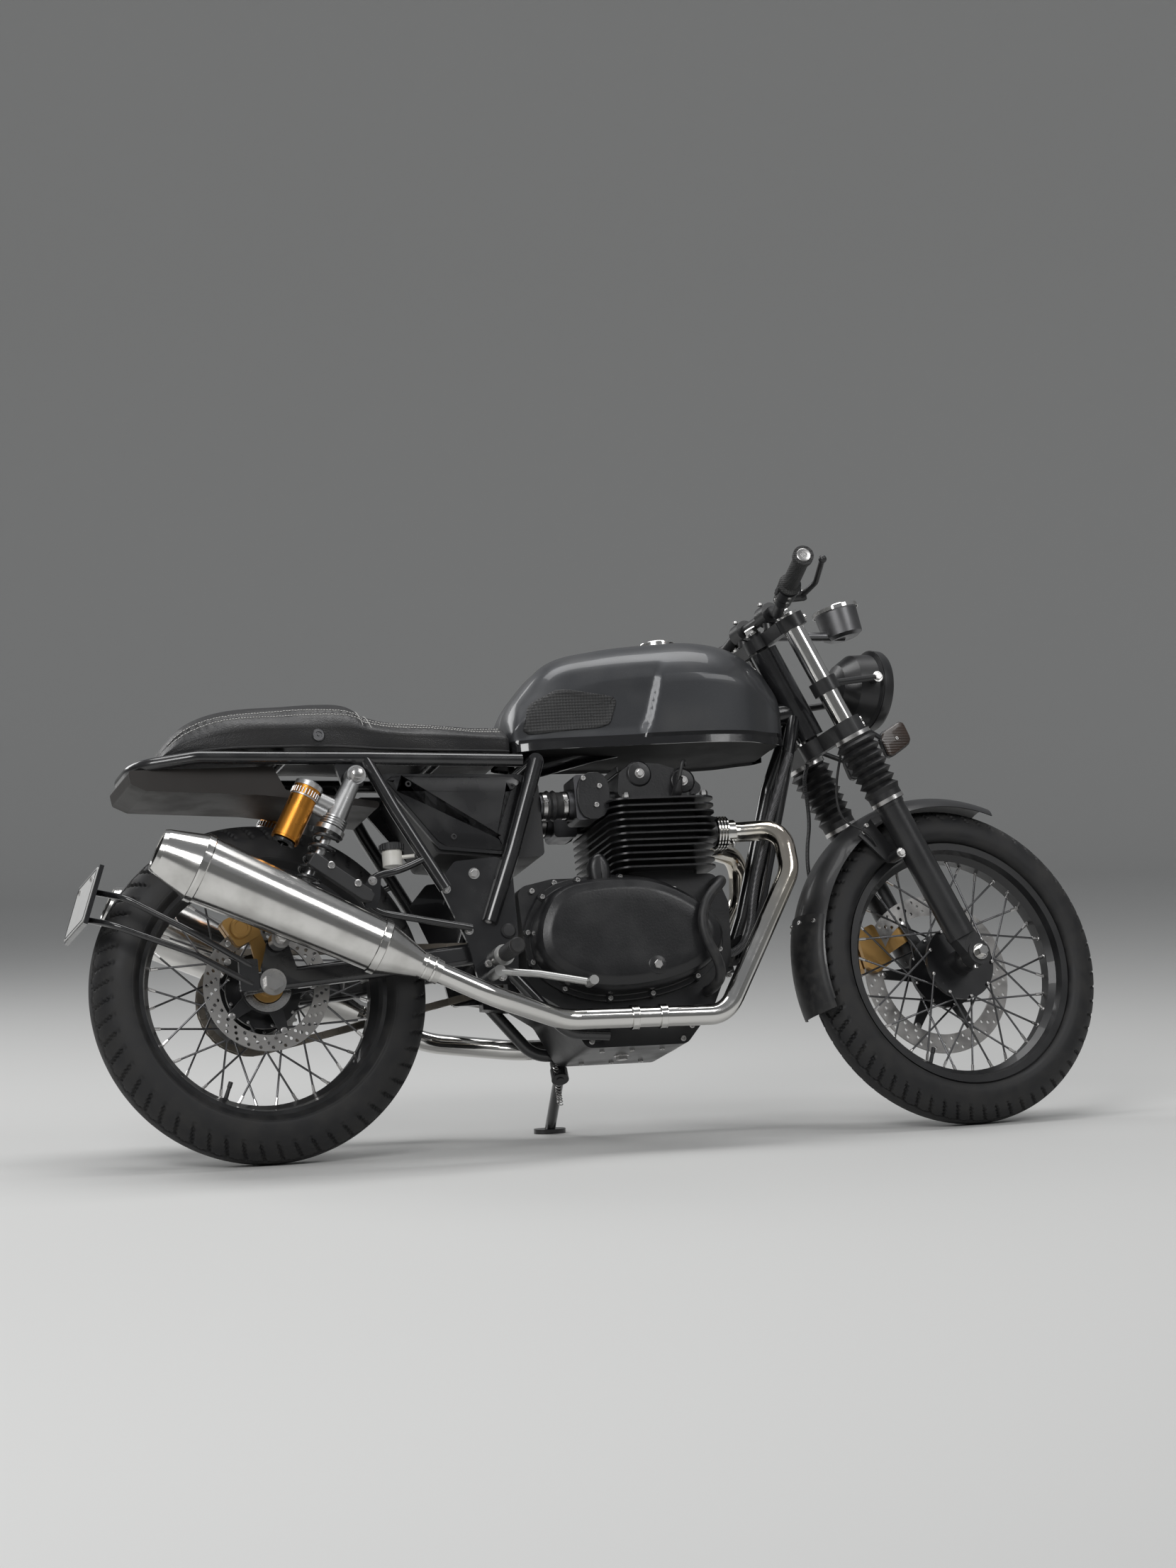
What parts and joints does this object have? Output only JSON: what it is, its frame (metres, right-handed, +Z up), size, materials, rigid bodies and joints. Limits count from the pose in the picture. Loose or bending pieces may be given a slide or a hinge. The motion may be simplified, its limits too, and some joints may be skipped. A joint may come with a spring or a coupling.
{
  "type": "cafe racer motorcycle",
  "caption": "Twin-cylinder cafe racer motorcycle leaning on its side stand, with wire-spoked wheels, round headlamp, humped seat and two tapered silencers.",
  "frame": {"origin": "on the ground under the middle of the machine's box, leaning on its side stand", "axes": "+X forward along the machine, +Y to its left, +Z up"},
  "size_m": [2.0526, 0.8244, 1.1331],
  "materials": {
    "frame_black": "gloss black",
    "engine_black": "satin black",
    "throttle_metal": "dark cast",
    "black_plastic": "semi gloss",
    "chrome": "polished",
    "silencer_steel": "polished steel",
    "tank_paint": "satin graphite",
    "seat_leather": "grained",
    "shock_body": "cast",
    "spring_black": "gloss black",
    "shock_gold": "anodised gold",
    "caliper_gold": "satin gold",
    "steel": "brushed",
    "chain_steel": "oiled",
    "plate_white": "blank",
    "fork_black": "satin black",
    "rubber_black": "moulded",
    "lens_glass": "clear",
    "mudguard_black": "satin black",
    "tyre_rubber": "road rubber",
    "wheel_black": "gloss black"
  },
  "bodies": {
    "chassis": {"main_frame": "frame_black", "rear_subframe": "frame_black", "swingarm": "frame_black", "rear_axle": "steel", "engine_crankcase": "engine_black", "engine_covers": "engine_black", "cylinder_block": "engine_black", "cylinder_head": "engine_black", "throttle_bodies": "throttle_metal", "airbox": "black_plastic", "exhaust_pipes": "chrome", "silencers": "silencer_steel", "fuel_tank": "tank_paint", "seat": "seat_leather", "rear_mudguard": "black_plastic", "side_panels": "black_plastic", "shock_absorbers": "shock_body", "shock_springs": "spring_black", "shock_reservoirs": "shock_gold", "footrests": "steel", "foot_levers": "steel", "plate_bracket": "frame_black", "number_plate": "plate_white", "rear_brake_caliper": "caliper_gold", "brake_fluid_reservoir": "black_plastic", "drive_chain": "chain_steel"},
    "rear_wheel": {"rear_tyre": "tyre_rubber", "rear_rim": "wheel_black", "rear_spokes": "wheel_black", "rear_hub": "wheel_black", "rear_disc": "steel", "rear_sprocket": "steel"},
    "front_assembly": {"upper_yoke": "fork_black", "lower_yoke": "fork_black", "fork_stanchions": "chrome", "fork_gaiters": "rubber_black", "fork_sliders": "fork_black", "front_axle": "steel", "handlebar": "fork_black", "grips": "rubber_black", "hand_controls": "fork_black", "headlamp": "fork_black", "headlamp_lens": "lens_glass", "gauge": "fork_black", "front_mudguard": "mudguard_black", "front_brake_caliper": "caliper_gold"},
    "front_wheel": {"front_tyre": "tyre_rubber", "front_rim": "wheel_black", "front_spokes": "wheel_black", "front_hub": "wheel_black", "front_disc": "steel"},
    "side_stand": {"side_stand": "frame_black"},
    "filler_cap": {"filler_cap": "chrome"}
  },
  "joints": [
    {"name": "rear_wheel_spin", "type": "hinge", "parent": "chassis", "child": "rear_wheel", "pos_m": [-0.68405, -0.12265, 0.3141], "axis": [-0.0006, 0.9711, -0.2385], "continuous": true},
    {"name": "steering", "type": "hinge", "parent": "chassis", "child": "front_assembly", "pos_m": [0.68376, -0.12716, 0.29229], "axis": [-0.4045, 0.2179, 0.8882], "range_deg": [-44.7, 25.3]},
    {"name": "front_wheel_spin", "type": "hinge", "parent": "front_assembly", "child": "front_wheel", "pos_m": [0.7135, -0.1186, 0.30373], "axis": [-0.1547, 0.9409, -0.3013], "continuous": true},
    {"name": "side_stand_fold", "type": "hinge", "parent": "chassis", "child": "side_stand", "pos_m": [-0.07252, -0.03492, 0.12471], "axis": [0.0872, 0.6869, 0.7215], "range_deg": [0, 86.63]},
    {"name": "filler_cap_hinge", "type": "hinge", "parent": "chassis", "child": "filler_cap", "pos_m": [0.21255, 0.03395, 0.9494], "axis": [-0.0006, 0.9711, -0.2385], "range_deg": [0, 100]}
  ]
}
